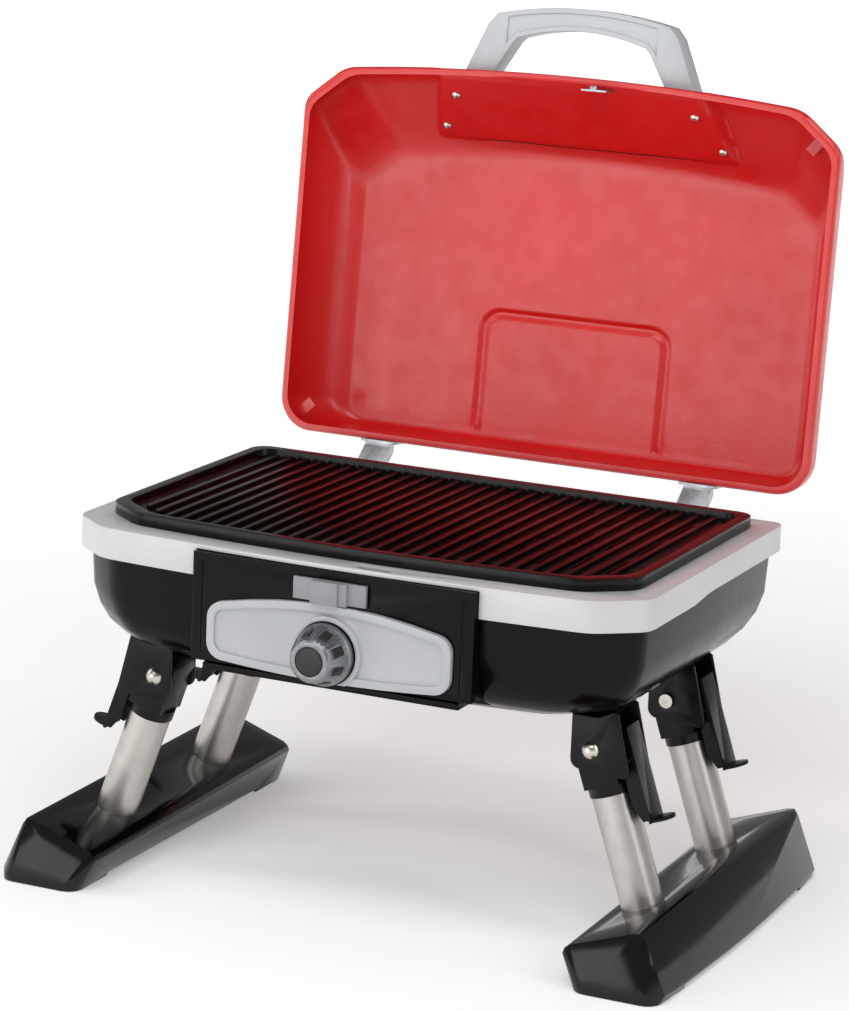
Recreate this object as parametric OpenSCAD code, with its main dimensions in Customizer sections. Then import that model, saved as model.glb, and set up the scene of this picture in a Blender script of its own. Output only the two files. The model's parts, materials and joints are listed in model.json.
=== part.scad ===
// Portable tabletop gas grill: briefcase-style base and lid on two folding leg frames.
// Front faces -Y, up is +Z, and the origin lies on the table under the middle of the open grill.

/* [Base] */
// Width of the base over the trim band
base_w = 430; // [410:5:450]
// Depth of the base over the trim band, without the bow of its front
base_d = 280; // [270:2:290]
// Height of the trim band's top edge above the table
top_z = 262; // [258:1:268]
// How far the front edge bows forward in the middle
front_bow = 9; // [4:1:12]
// Width of the slanted front corners
corner_x = 32; // [20:1:40]
// Depth of the slanted front corners
corner_y = 26; // [18:1:34]
// Radius of the lid's rear corners
rear_r = 26; // [16:1:34]
// Depth of the firebox below the band's top edge
fire_h = 93; // [88:1:96]

/* [Lid] */
// Height of the closed lid above the band
lid_h = 63; // [56:1:70]
// Angle that the lid opens to
lid_open = 96; // [92:1:100]
// Distance of the hinge axis behind the base
hinge_back = 29; // [27:1:32]
// Distance of the hinge axis below the band's top edge
hinge_drop = 18; // [17:1:20]
// Length of the handle over its feet
handle_w = 186; // [160:2:200]
// Reach of the handle in front of the closed lid's edge
handle_reach = 53; // [45:1:60]

/* [Controls] */
// Width of the control housing
housing_w = 210; // [200:2:220]
// Width of the silver control plate
plate_w = 182; // [174:2:184]
// Height of the knob's axis above the table
knob_z = 203; // [202:1:205]
// Diameter of the knob's skirt
knob_d = 43; // [40:1:44]

/* [Legs] */
// Distance of the leg pivots from the centre line
pivot_x = 167; // [160:1:168]
// Height of the leg pivots above the table
pivot_z = 145; // [143:1:146]
// Angle that the legs splay outwards
splay = 19; // [18:0.5:21]
// Diameter of the leg tubes
tube_d = 30; // [28:1:31]
// Distance between the front and rear tubes
tube_gap = 143; // [136:1:150]
// Length of the foot beams
foot_l = 324; // [310:2:328]

/* [Hidden] */

$fn = 48;
wall = 1.6;
gap = 0.5;
run_gap = 0.06;

// Landmarks of the body, measured about the body's own middle.
corner_front = -base_d / 2;
apex_y = corner_front - front_bow;
rear_y = base_d / 2;
base_back = rear_y + 6;
base_r = 9;
floor_z = top_z - fire_h;
hinge_y = rear_y + hinge_back;
hinge_z = top_z - hinge_drop;
hinge_x = 130;
housing_y = apex_y - 2;
housing_z = top_z - 86;
valve_y = corner_front + 13;
leg_mid = 1;
foot_mid = 3;

// The body is moved along Y so that the open grill stands over the origin.
panel_set = 63;
knob_front = -33;
lid_reach = hinge_y + (apex_y + panel_set - hinge_y) * cos(lid_open)
    + (lid_h + hinge_drop) * sin(lid_open);
knob_reach = -apex_y - knob_front + 0.6;
body_y = (knob_reach - lid_reach) / 2;

// ---------- shared shapes ----------

function arc(cx, cy, r, a0, a1, n) =
    [for (i = [0:n]) let (a = a0 + (a1 - a0) * i / n) [cx + r * cos(a), cy + r * sin(a)]];

// Rounds the corner p between the points a and b; k is how far the curve reaches along each side.
function eased(p, a, b, k) =
    let (u = (a - p) / norm(a - p), v = (b - p) / norm(b - p))
    [for (i = [0:3]) let (t = i / 3) p + k * (1 - t) * (1 - t) * u + k * t * t * v];

// Plan outline of base and lid: bowed front, slanted front corners, rear corners of radius r.
function outline(w, front, back, r) =
    let (
        x = w - corner_x,
        y = front + corner_y,
        n = 10,
        ease = 9,
        bow = [for (i = [1:n - 1]) let (t = 2 * i / n - 1) [t * x, front - front_bow * (1 - t * t)]]
    )
    concat(
        eased([-x, front], [-w, y], bow[0], ease),
        bow,
        eased([x, front], bow[n - 2], [w, y], ease),
        eased([w, y], [x, front], [w, back], ease),
        arc(w - r, back - r, r, 0, 90, 6),
        arc(r - w, back - r, r, 90, 180, 6),
        eased([-w, y], [-w, back], [-x, front], ease)
    );

// Base outline, taken in by side, front and rear.
module plan(side, front, rear) {
    polygon(outline(base_w / 2 - side, corner_front + front, base_back - rear, base_r + side / 4));
}

// Lid outline, taken in the same way.
module lid_plan(side, front, rear) {
    r = max(rear_r - (side + rear) / 3, 8);
    polygon(outline(base_w / 2 - side, corner_front + front, rear_y - rear, r));
}

// One thin level of the lofted firebox.
module level(z, side, front, rear) {
    translate([0, 0, z])
        linear_extrude(0.4)
            plan(side, front, rear);
}

// One thin level of the lofted lid.
module lid_level(z, side, front, rear) {
    translate([0, 0, z])
        linear_extrude(0.4)
            lid_plan(side, front, rear);
}

module on_body() {
    translate([0, body_y, 0])
        children();
}

// Turns the closed lid about its hinge into the open rest pose.
module lid_pose() {
    on_body()
        translate([0, hinge_y, hinge_z])
            rotate([-lid_open, 0, 0])
                translate([0, -hinge_y, -hinge_z])
                    children();
}

// Extrudes a profile drawn in Y and Z along X, centred.
module along_x(w) {
    rotate([90, 0, 90])
        translate([0, 0, -w / 2])
            linear_extrude(w)
                children();
}

// Extrudes a profile drawn in X and Z along Y, centred.
module along_y(w) {
    translate([0, w / 2, 0])
        rotate([90, 0, 0])
            linear_extrude(w)
                children();
}

module rod_x(r, l) {
    rotate([0, 90, 0])
        cylinder(r = r, h = l, center = true);
}

module rod_y(r, l) {
    rotate([90, 0, 0])
        cylinder(r = r, h = l, center = true);
}

// Domed screw or rivet head on a shank; the head points along +Z and starts at 0.
module domed(r, h, shank_r, shank_l) {
    ball = (r * r + h * h) / (2 * h);
    intersection() {
        translate([0, 0, h - ball])
            sphere(r = ball);
        cylinder(r = r, h = h);
    }
    translate([0, 0, -shank_l])
        cylinder(r = shank_r, h = shank_l + 0.1);
}

// Coil of round wire along +Z, as one swept tube.
module coil(r, wire, pitch, turns) {
    sides = 6;
    steps = 12;
    n = ceil(turns * steps);
    rise = atan2(pitch, 2 * PI * r);
    points = [
        for (i = [0:n], j = [0:sides - 1])
            let (
                a = 360 * i / steps,
                b = 360 * j / sides,
                out = r + wire * cos(b),
                up = wire * sin(b)
            )
            [
                out * cos(a) + up * sin(rise) * sin(a),
                out * sin(a) - up * sin(rise) * cos(a),
                pitch * i / steps + up * cos(rise)
            ]
    ];
    ends = [[for (j = [sides - 1:-1:0]) j], [for (j = [0:sides - 1]) n * sides + j]];
    skin = [
        for (i = [0:n - 1], j = [0:sides - 1])
            let (a = i * sides, b = a + sides, k = (j + 1) % sides)
            each [[a + k, b + k, b + j], [a + k, b + j, a + j]]
    ];
    polyhedron(points = points, faces = concat(ends, skin), convexity = 4);
}

// ---------- base ----------

// Outer or inner form of the firebox; t is the wall taken off all round.
module fire_form(t) {
    hull() {
        level(top_z - 4, 5 + t, 4 + t, 4 + t);
        level(floor_z + 44, 7 + t, 6 + t, 6 + t);
        level(floor_z + 30, 11 + t, 8 + t, 9 + t);
        level(floor_z + 19, 17 + t, 11 + t, 15 + t);
        level(floor_z + 10, 25 + t, 17 + t, 24 + t);
        level(floor_z + t, 44 + t, 38 + t, 44 + t);
    }
}

// Space in front of the firebox that the control housing fills; t is added all round.
module valve_bay(t) {
    w = housing_w + 1 + 2 * t;
    translate([-w / 2, corner_front - 40, floor_z - 10])
        cube([w, 40 + valve_y + 11 - corner_front + t, fire_h + 20]);
}

module firebox() {
    color("#1a1817")
        on_body()
            difference() {
                difference() {
                    fire_form(0);
                    valve_bay(0);
                }
                difference() {
                    fire_form(wall);
                    valve_bay(wall);
                }
                translate([0, 0, top_z - 4])
                    linear_extrude(4)
                        plan(5 + wall, 4 + wall, 4 + wall);
                // The walls of the bay stop under the cooking plate.
                translate([-housing_w / 2 - 4, valve_y - 1, top_z - 8])
                    cube([housing_w + 8, 16, 9]);
                // Drain hole over the drip tray.
                translate([0, 12, floor_z - 1])
                    cylinder(d = 34, h = 6);
                // Hole for the venturi.
                translate([0, valve_y + 12, knob_z - 8])
                    rod_y(9.2, 20);
            }
}

module trim_band() {
    skirt = 22;
    color("#d9d9da")
        on_body()
            difference() {
                union() {
                    // Skirt round the firebox.
                    translate([0, 0, top_z - skirt])
                        linear_extrude(skirt)
                            difference() {
                                plan(0, 0, 0);
                                plan(2.4, 2.4, 2.4);
                            }
                    // Ledge that the lid and the cooking plate rest on.
                    translate([0, 0, top_z - 2.4])
                        linear_extrude(2.4)
                            difference() {
                                plan(0, 0, 0);
                                plan(25, 22, 24);
                            }
                }
                // Gap in the skirt for the control housing.
                translate([-housing_w / 2 - gap, corner_front - 20, top_z - skirt - 1])
                    cube([housing_w + 2 * gap, 26, skirt - 2.2]);
                // The skirt is a little shallower along the rear two thirds of the sides.
                along_x(base_w + 2)
                    polygon([
                        [-38, top_z - skirt - 1], [-28, top_z - skirt + 0.4],
                        [-6, top_z - skirt + 2.6], [5, top_z - skirt + 3],
                        [base_back + 1, top_z - skirt + 3], [base_back + 1, top_z - skirt - 1]
                    ]);
                catch_slot();
            }
}

module control_housing() {
    w = housing_w;
    top = top_z - 3.6;
    low_top = top_z - 9.6;
    back = valve_y + 10;
    step_y = valve_y - 6;
    body_z = housing_z + 6.4;
    color("#191716")
        on_body()
            difference() {
                union() {
                    translate([-w / 2, housing_y, body_z])
                        cube([w, step_y - housing_y, top - body_z]);
                    // Lower at the rear, where the cooking plate lies over it.
                    translate([-w / 2, housing_y, body_z])
                        cube([w, back - housing_y, low_top - body_z]);
                    // Lower lip, set back under a narrow ledge.
                    translate([-w / 2 + 10, housing_y + 3, housing_z])
                        cube([w - 20, back - housing_y - 3, 8]);
                    translate([-w / 2 + 10, housing_y - 1.6, housing_z + 3.6])
                        cube([w - 20, 5.2, 2]);
                }
                translate([-w / 2 + wall, housing_y + wall, body_z + wall])
                    cube([w - 2 * wall, step_y - housing_y - 2 * wall, top - body_z - 2 * wall]);
                translate([-w / 2 + wall, housing_y + wall, body_z + wall])
                    cube([w - 2 * wall, back - housing_y, low_top - body_z - 2 * wall]);
                translate([-w / 2 + 10 + wall, housing_y + 3 + wall, housing_z + wall])
                    cube([w - 20 - 2 * wall, back - housing_y, 10]);
                // Upright grooves near both edges.
                for (s = [-1, 1])
                    translate([s * (w / 2 - 8) - 1, housing_y - 1, housing_z + 12])
                        cube([2, 1.8, top - housing_z - 18]);
                // Window behind the latch slider.
                translate([-22, housing_y - 1, top_z - 20])
                    cube([44, 5, 8]);
                catch_slot();
                // Hole for the valve stem.
                translate([0, housing_y, knob_z])
                    rod_y(9, 10);
                // Hole under the gas inlet.
                translate([inlet_x, inlet_y, housing_z - 1])
                    cylinder(r = 12, h = 10);
            }
}

// Slot in band and housing that the lid's catch drops through.
module catch_slot() {
    translate([14, apex_y + 4.2, top_z - 12])
        cube([24.5, 8, 14]);
}

// Face outline of the control plate: both long edges bulge from their ends to the middle.
function plate_face(w, top_mid, top_end, low_mid, low_end, r) =
    let (x = w / 2 - r, n = 8)
    concat(
        arc(x, top_end - r, r, 0, 78, 5),
        [for (i = [1:n - 1]) let (t = 1 - 2 * i / n) [t * x, top_end + (top_mid - top_end) * (1 - t * t)]],
        arc(-x, top_end - r, r, 102, 180, 5),
        arc(-x, r - low_end, r, 180, 264, 5),
        [for (i = [1:n - 1]) let (t = 2 * i / n - 1) [t * x, -low_end - (low_mid - low_end) * (1 - t * t)]],
        arc(x, r - low_end, r, 276, 360, 5)
    );

module control_plate() {
    mid_z = top_z - 53.5;
    low_z = housing_z + 6.5;
    color("#c9cbce")
        on_body()
            difference() {
                union() {
                    translate([0, housing_y - 1.3, mid_z])
                        along_y(2.6)
                            polygon(plate_face(plate_w, 27.5, 18.6, 26, 22.5, 12));
                    // Raised bead round the edge.
                    translate([0, housing_y - 2.3, mid_z])
                        along_y(4.6)
                            difference() {
                                polygon(plate_face(plate_w, 27.5, 18.6, 26, 22.5, 12));
                                polygon(plate_face(plate_w - 11, 22, 13.5, 20.5, 17, 8));
                            }
                    // Raised ring round the knob.
                    translate([0, housing_y - 3, knob_z])
                        rod_y(knob_d / 2 + 4, 6);
                }
                translate([0, housing_y - 3, knob_z])
                    rod_y(knob_d / 2 + 0.8, 12);
                // The ring ends level with the plate's lower edge.
                translate([-40, housing_y - 8, low_z - 10])
                    cube([80, 10, 10]);
            }
}

module latch_guide() {
    color("#8f9296")
        on_body()
            difference() {
                translate([-34, housing_y + wall, top_z - 26])
                    cube([68, 7, 19]);
                translate([-28.5, housing_y + wall - 1, top_z - 21])
                    cube([57, 5.5, 10]);
                // Way for the slider's finger.
                translate([11, housing_y + wall - 1, top_z - 14])
                    cube([18, 9, 8]);
            }
}

// The burner's U-shaped form: a front bar, two bends and two arms that end at back_y.
module burner_form(r, back_y) {
    bend = 28;
    half_w = 120;
    front_y = -62;
    translate([0, front_y, 0])
        rod_x(r, 2 * (half_w - bend));
    for (s = [-1, 1]) {
        translate([s * (half_w - bend), front_y + bend, 0])
            rotate([0, 0, s > 0 ? -90 : 180])
                rotate_extrude(angle = 90)
                    translate([bend, 0])
                        circle(r = r);
        translate([s * half_w, (front_y + bend + back_y) / 2, 0])
            rod_y(r, back_y - front_y - bend + 0.1);
    }
}

module burner_tube() {
    color("#a9a39b")
        on_body()
            translate([0, 0, floor_z + 32])
                difference() {
                    burner_form(10, 78);
                    burner_form(8.6, 76);
                    // Flame ports along the two arms.
                    for (s = [-1, 1], i = [0:9])
                        translate([s * 120, -24 + i * 10, 4])
                            cylinder(r = 1, h = 10, $fn = 16);
                }
}

module burner_supports() {
    z = floor_z + wall;
    color("#8f8a83")
        on_body()
            for (s = [-1, 1])
                translate([s * 120, 60, z])
                    difference() {
                        translate([-14, -8, 0])
                            cube([28, 16, 23]);
                        translate([-12, -9, -1])
                            cube([24, 18, 16]);
                        translate([0, 0, 32 - wall])
                            rod_y(10 + gap, 30);
                    }
}

module venturi() {
    z = knob_z - 8;
    color("#a9a39b")
        on_body()
            difference() {
                union() {
                    translate([0, (valve_y + 8 - 71) / 2, z])
                        rod_y(8.6, -71 - valve_y - 8);
                    translate([0, valve_y + 15, z])
                        rod_y(12, 3);
                }
                translate([0, valve_y + 8, z])
                    rod_y(5, 60);
            }
}

module gas_valve() {
    color("#c7a356")
        on_body()
            difference() {
                union() {
                    translate([-11, valve_y - 11, knob_z - 16])
                        cube([22, 18, 27]);
                    translate([0, valve_y - 13, knob_z])
                        rod_y(7.5, 8);
                    translate([-14, valve_y, knob_z])
                        rod_x(6, 8);
                    translate([0, valve_y + 6, knob_z - 8])
                        rod_y(4, 8);
                }
                // Bore of the valve stem and well of its return spring.
                translate([0, valve_y - 10, knob_z])
                    rod_y(3 + run_gap, 16);
                translate([0, valve_y - 15.4, knob_z])
                    rod_y(6, 5);
            }
}

module valve_bracket() {
    color("#8f9296")
        on_body()
            difference() {
                union() {
                    translate([-24, valve_y + 7, knob_z - 15])
                        cube([48, 2, 34]);
                    for (s = [-1, 1])
                        translate([s * 23 - 1, valve_y - 4, knob_z - 15])
                            cube([2, 12, 34]);
                }
                translate([-24.5, valve_y, knob_z])
                    rod_x(6.2, 6);
                translate([0, valve_y + 8, knob_z - 8])
                    rod_y(9, 6);
            }
}

inlet_x = -60;
inlet_y = valve_y - 4;
inlet_r = 6.58;
inlet_l = 14;

module inlet_pipe() {
    from_x = inlet_x + 7;
    to_x = -18;
    color("#c7a356")
        on_body()
            translate([(from_x + to_x) / 2, valve_y, knob_z])
                difference() {
                    rod_x(4.5, to_x - from_x);
                    rod_x(2.5, to_x - from_x + 2);
                }
}

// Male thread that points down inside the housing's lower opening.
module gas_inlet() {
    mouth = housing_z + 2.5;
    color("#c7a356")
        on_body()
            difference() {
                union() {
                    translate([inlet_x, inlet_y, mouth])
                        cylinder(r = inlet_r, h = inlet_l + 1);
                    translate([inlet_x, inlet_y, mouth + inlet_l])
                        cylinder(d = 20, h = 5, $fn = 6);
                    translate([inlet_x - 7, inlet_y - 7, mouth + inlet_l + 4])
                        cube([14, 17, knob_z + 7 - mouth - inlet_l - 4]);
                }
                translate([inlet_x, inlet_y, mouth - 1])
                    cylinder(r = 4, h = inlet_l + 12);
                translate([inlet_x + 4, valve_y, knob_z])
                    rod_x(2.5, 8);
            }
}

module igniter_electrode() {
    z = floor_z + 47;
    color("#e6e2da")
        on_body() {
            translate([70, valve_y + 30, z])
                rod_y(3.5, 26);
            translate([70, valve_y + 48, z])
                rod_y(1, 12);
            translate([64, valve_y + 12.6, z - 6])
                cube([12, 3, 12]);
        }
}

tray_y = -56;
tray_l = 156;

module tray_rails() {
    color("#8f9296")
        on_body()
            for (s = [-1, 1])
                scale_x(s)
                    union() {
                        translate([79, tray_y, floor_z - 8])
                            cube([1.6, tray_l, 8]);
                        translate([74, tray_y, floor_z - 8])
                            cube([6, tray_l, 1.6]);
                    }
}

module scale_x(s) {
    if (s < 0)
        mirror([1, 0, 0])
            children();
    else
        children();
}

module hinge_brackets() {
    r = 6.5;
    color("#c3c5c8")
        on_body()
            for (s = [-1, 1])
                translate([s * hinge_x, 0, 0])
                    difference() {
                        union() {
                            // Plate on the rear of the band.
                            translate([-18, base_back, top_z - 38])
                                cube([36, 2.2, 34]);
                            for (e = [-1, 1])
                                translate([e * 13.2, 0, 0])
                                    along_x(2.6)
                                        union() {
                                            translate([hinge_y, hinge_z])
                                                circle(r = r);
                                            polygon([
                                                [base_back + 1, top_z - 38], [hinge_y - 2, hinge_z - r],
                                                [hinge_y - 2, hinge_z + r], [base_back + 1, top_z - 8]
                                            ]);
                                        }
                        }
                        translate([0, hinge_y, hinge_z])
                            rod_x(2.5 + run_gap / 2, 60);
                    }
}

module hinge_pins() {
    color("#b8babd")
        on_body()
            for (s = [-1, 1])
                translate([s * hinge_x, hinge_y, hinge_z]) {
                    rod_x(2.5, 34);
                    translate([18, 0, 0])
                        rod_x(4, 2);
                    translate([-18, 0, 0])
                        rod_x(4, 2);
                }
}

module hinge_screws() {
    color("#b8babd")
        on_body()
            for (s = [-1, 1], x = [-7, 7])
                translate([s * hinge_x + x, base_back + 2.2, top_z - 12])
                    rotate([-90, 0, 0])
                        domed(3.2, 1.6, 1.6, 2.2);
}

// ---------- leg brackets ----------

// Places right-hand leg geometry at side s (-1 or 1) and at the front (-1) or rear (1).
module at_leg(s, e) {
    on_body()
        scale_x(s)
            translate([pivot_x, leg_mid + e * tube_gap / 2, pivot_z])
                scale_y(e)
                    children();
}

module scale_y(e) {
    if (e < 0)
        mirror([0, 1, 0])
            children();
    else
        children();
}

// The same, turned so that the tube runs down along -Z and +X points outwards.
module leg_frame(s, e) {
    at_leg(s, e)
        rotate([0, -splay, 0])
            children();
}

bracket_half = 17;
bracket_t = 2;
bolt_r = 4;

module bracket(s, e) {
    h = floor_z - pivot_z;
    color("#1d1b1a")
        at_leg(s, e)
            difference() {
                union() {
                    translate([-14, -bracket_half - bracket_t, h - 2.2])
                        cube([24, 2 * (bracket_half + bracket_t), 2.2]);
                    for (k = [-1, 1])
                        translate([0, k * (bracket_half + bracket_t / 2), 0])
                            along_y(bracket_t)
                                polygon(concat(
                                    [[-14, h], [-14, -7]],
                                    arc(-7, -7, 7, 180, 270, 5),
                                    [[14, -16], [27, -16], [29, -12], [19, h + 4], [16, h + 5.4], [5, h]]
                                ));
                }
                rod_y(bolt_r + 0.1, 60);
            }
}

module bracket_front_left() {
    bracket(-1, -1);
}

module bracket_rear_left() {
    bracket(-1, 1);
}

module bracket_front_right() {
    bracket(1, -1);
}

module bracket_rear_right() {
    bracket(1, 1);
}

module bracket_rivets() {
    h = floor_z - pivot_z;
    color("#8f9296")
        for (s = [-1, 1], e = [-1, 1], y = [-10, 10])
            at_leg(s, e)
                translate([-9, y, h - 2.2])
                    rotate([180, 0, 0])
                        domed(2.6, 1.4, 1.5, 3.2);
}

module leg_bolts() {
    half = bracket_half + bracket_t;
    color("#c8c9cb")
        for (s = [-1, 1], e = [-1, 1])
            at_leg(s, e) {
                translate([0, half, 0])
                    rotate([-90, 0, 0])
                        domed(6.2, 3.6, bolt_r, 2 * half + 2);
                translate([0, -half - 1.2, 0])
                    rod_y(bolt_r + 1, 2);
            }
}

// ---------- legs ----------

collar_s = 26;
tube_s = 34;
tube_end = 138;
pin_s = 13;
pin_out = 20.7;

module fitting(s, e) {
    r = tube_d / 2;
    color("#1d1b1a")
        leg_frame(s, e)
            difference() {
                union() {
                    translate([-r + 2, -bracket_half + 1, -collar_s - 1])
                        cube([2 * r - 4, 2 * bracket_half - 2, collar_s + 5]);
                    intersection() {
                        translate([-r + 2, -bracket_half + 1, 0])
                            cube([2 * r - 4, 2 * bracket_half - 2, 16]);
                        rod_y(15, 60);
                    }
                    // Tongue that carries the release lever.
                    translate([r - 4, -4, -pin_s - 5])
                        cube([pin_out + 3.5 - r + 4, 8, 10]);
                    translate([0, 0, -tube_s])
                        cylinder(r = r + 1, h = tube_s - collar_s);
                    // Plug inside the tube.
                    translate([0, 0, -tube_s - 16])
                        cylinder(r = r - 1.6, h = 17);
                }
                rod_y(bolt_r + run_gap, 60);
                translate([pin_out, 0, -pin_s])
                    rod_y(1.5, 60);
            }
}

module fitting_front_left() {
    fitting(-1, -1);
}

module fitting_rear_left() {
    fitting(-1, 1);
}

module fitting_front_right() {
    fitting(1, -1);
}

module fitting_rear_right() {
    fitting(1, 1);
}

module tube(s, e) {
    r = tube_d / 2;
    color("#c6c4c1")
        leg_frame(s, e)
            translate([0, 0, -tube_end])
                difference() {
                    cylinder(r = r, h = tube_end - tube_s);
                    translate([0, 0, -1])
                        cylinder(r = r - 1.5, h = tube_end);
                }
}

module tube_front_left() {
    tube(-1, -1);
}

module tube_rear_left() {
    tube(-1, 1);
}

module tube_front_right() {
    tube(1, -1);
}

module tube_rear_right() {
    tube(1, 1);
}

// Pins of the release levers, each with its torsion spring.
module lever_pins(s) {
    color("#b8babd")
        for (e = [-1, 1])
            leg_frame(s, e)
                translate([pin_out, 0, -pin_s]) {
                    rod_y(1.5, 26);
                    for (k = [-1, 1])
                        translate([0, k * 13.4, 0])
                            rod_y(2.6, 1);
                    translate([0, 4.4, 0])
                        rotate([-90, 0, 0])
                            coil(2.4, 0.45, 1.1, 3);
                }
}

module lever_pins_left() {
    lever_pins(-1);
}

module lever_pins_right() {
    lever_pins(1);
}

// Release lever: a channel along the outside of the tube, ending in a thumb tab.
module lever(s, e) {
    inner = 16.4;
    outer = 27;
    half = 11;
    top = 9.5;
    bottom = -58;
    color("#1a1918")
        leg_frame(s, e)
            difference() {
                union() {
                    translate([outer - 2, -half, bottom])
                        cube([2, 2 * half, top - bottom]);
                    for (k = [-1, 1])
                        translate([0, k * (half - 1), 0])
                            along_y(2)
                                polygon([
                                    [outer, top], [inner, top - 3], [inner, bottom + 14],
                                    [outer - 5, bottom], [outer, bottom]
                                ]);
                    // Thumb tab.
                    translate([outer - 1, -half + 2, bottom])
                        cube([6, 2 * half - 4, 2]);
                    translate([outer + 4, 0, bottom])
                        cylinder(r = half - 2, h = 2);
                }
                translate([pin_out, 0, -pin_s])
                    rod_y(1.5 + run_gap, 60);
                translate([outer - 12, -half - 1, bottom - 0.1])
                    cube([10, 2 * half + 2, 2.2]);
            }
}

module lever_front_left() {
    lever(-1, -1);
}

module lever_rear_left() {
    lever(-1, 1);
}

module lever_front_right() {
    lever(1, -1);
}

module lever_rear_right() {
    lever(1, 1);
}

foot_in = 188;
foot_out = 250;
foot_bulge = 6;

// Plan of the foot beam's underside; its outer side bows outwards.
function foot_plan(t) =
    let (
        l = foot_l / 2 - t,
        a = foot_in + t,
        b = foot_out - t,
        r = 11 - t,
        n = 8
    )
    concat(
        arc(a + r, -l + r, r, 180, 270, 4),
        arc(b - r, -l + r, r, 270, 360, 4),
        [for (i = [1:n - 1]) let (u = 2 * i / n - 1) [b + foot_bulge * (1 - u * u), u * (l - r)]],
        arc(b - r, l - r, r, 0, 90, 4),
        arc(a + r, l - r, r, 90, 180, 4)
    );

// Section of the beam under its top face, which is square to the tubes; rise lifts the face.
function foot_section(t, rise) =
    let (in = foot_in - 10 + t, out = 235 - t, z = 27 + rise - t)
    concat(
        [[foot_in - 2 + t, 6], [in, z - 5], [in + 1.2, z - 1.4], [in + 5, z + 1.6]],
        [[out - 7, z + 17.4], [out - 1.5, z + 18.2], [out + 1.6, z + 14], [out + 17, 6]]
    );

// Lofted beam, a little higher towards the rear, from the height low up; t is the wall taken off.
module foot_form(t, low) {
    hull() {
        translate([0, 0, low])
            linear_extrude(4.4)
                polygon(foot_plan(t));
        for (e = [-1, 1])
            translate([0, e * (foot_l / 2 - 17 - t), 0])
                along_y(12)
                    polygon(foot_section(t, 2 + 2 * e));
    }
}

module foot(s) {
    r = tube_d / 2;
    color("#161514")
        on_body()
            scale_x(s)
                difference() {
                    union() {
                        translate([0, foot_mid, 0])
                            difference() {
                                foot_form(0, 0);
                                foot_form(3, -1);
                                // The beam stands on its two ends.
                                translate([foot_in - 5, -foot_l / 2 + 46, -2])
                                    cube([90, foot_l - 92, 5]);
                            }
                        for (e = [-1, 1])
                            foot_socket(e, r + 3);
                    }
                    for (e = [-1, 1])
                        foot_socket_bore(e, r);
                }
}

// Socket round the lower end of a tube, inside the beam.
module foot_socket(e, r) {
    translate([pivot_x, leg_mid + e * tube_gap / 2, pivot_z])
        rotate([0, -splay, 0])
            translate([0, 0, -141])
                cylinder(r = r, h = 25.9);
}

module foot_socket_bore(e, r) {
    translate([pivot_x, leg_mid + e * tube_gap / 2, pivot_z])
        rotate([0, -splay, 0])
            translate([0, 0, -tube_end])
                cylinder(r = r, h = tube_end);
}

module foot_left() {
    foot(-1);
}

module foot_right() {
    foot(1);
}

// ---------- pieces that lift off, slide or turn ----------

module cooking_plate() {
    z = top_z + 0.3;
    ribs = 29;
    pitch = 12.5;
    color("#201d1b")
        on_body()
            difference() {
                union() {
                    // Raised rim standing on the band's ledge.
                    translate([0, 0, z])
                        linear_extrude(8)
                            difference() {
                                plan(16, 18, 18);
                                plan(24, 26, 26);
                            }
                    // Lip that drops inside the ledge and keeps the plate in place.
                    translate([0, 0, z - 5])
                        linear_extrude(7)
                            difference() {
                                plan(26, 23, 25);
                                plan(28.4, 25.4, 27.4);
                            }
                    translate([0, 0, z])
                        linear_extrude(3)
                            plan(20, 20, 21);
                    intersection() {
                        for (i = [0:ribs - 1])
                            translate([(i - (ribs - 1) / 2) * pitch - 2, -base_d / 2, z + 2])
                                cube([4, base_d, 4]);
                        translate([0, 0, z])
                            linear_extrude(8)
                                plan(32, 32, 33);
                    }
                }
                // Slots that let the flame and the fat through.
                for (i = [0:ribs - 2], y = [-58, 4, 66])
                    if (i % 2 == 1)
                        translate([(i - (ribs - 2) / 2) * pitch - 2, y - 20, z - 2])
                            cube([4, 40, 8]);
            }
}

module drip_tray() {
    w = 146;
    y = tray_y + 1;
    l = tray_l - 6;
    color("#a8aaad")
        on_body()
            difference() {
                union() {
                    translate([-w / 2, y, floor_z - 9.5])
                        cube([w, l, 8.5]);
                    translate([-w / 2 - 5, y, floor_z - 5.6])
                        cube([w + 10, l, 1.2]);
                    // Pull lip at the rear.
                    translate([-w / 2, y + l - 1, floor_z - 9.5])
                        cube([w, 13, 1.5]);
                }
                translate([-w / 2 + 1.4, y + 1.4, floor_z - 8.1])
                    cube([w - 2.8, l - 2.8, 12]);
            }
}

module latch_slider() {
    z = top_z - 9.6;
    y = housing_y - 0.3;
    color("#a9acaf")
        on_body()
            union() {
                translate([-27, y - 3, z - 15])
                    cube([54, 3, 15]);
                // Raised finger grip with a ridge.
                translate([-12, y - 8, z - 15.6])
                    cube([20, 6, 15.6]);
                translate([6, y - 6, z - 15.6])
                    cube([8, 4, 15.4]);
                // Stem through the housing and hook bar behind it.
                translate([-8, y - 1, z - 9.4])
                    cube([16, 5.4, 6.8]);
                translate([-20, y + wall + 1.8, z - 10.4])
                    cube([40, 2.8, 8.6]);
                // Finger that slides over the lid's catch and locks it.
                translate([13, y + wall + 1.8, z - 2])
                    cube([7, 2.8, 4]);
                translate([13, y + wall + 1.8, z])
                    cube([7, 6.8, 2]);
            }
}

module valve_stem() {
    color("#b8babd")
        on_body()
            difference() {
                translate([0, (stem_back + stem_front) / 2, knob_z])
                    rod_y(3, stem_back - stem_front);
                // Flat that drives the knob.
                translate([-4, stem_front - 1, knob_z + 1.8])
                    cube([8, 17, 4]);
            }
}

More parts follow.
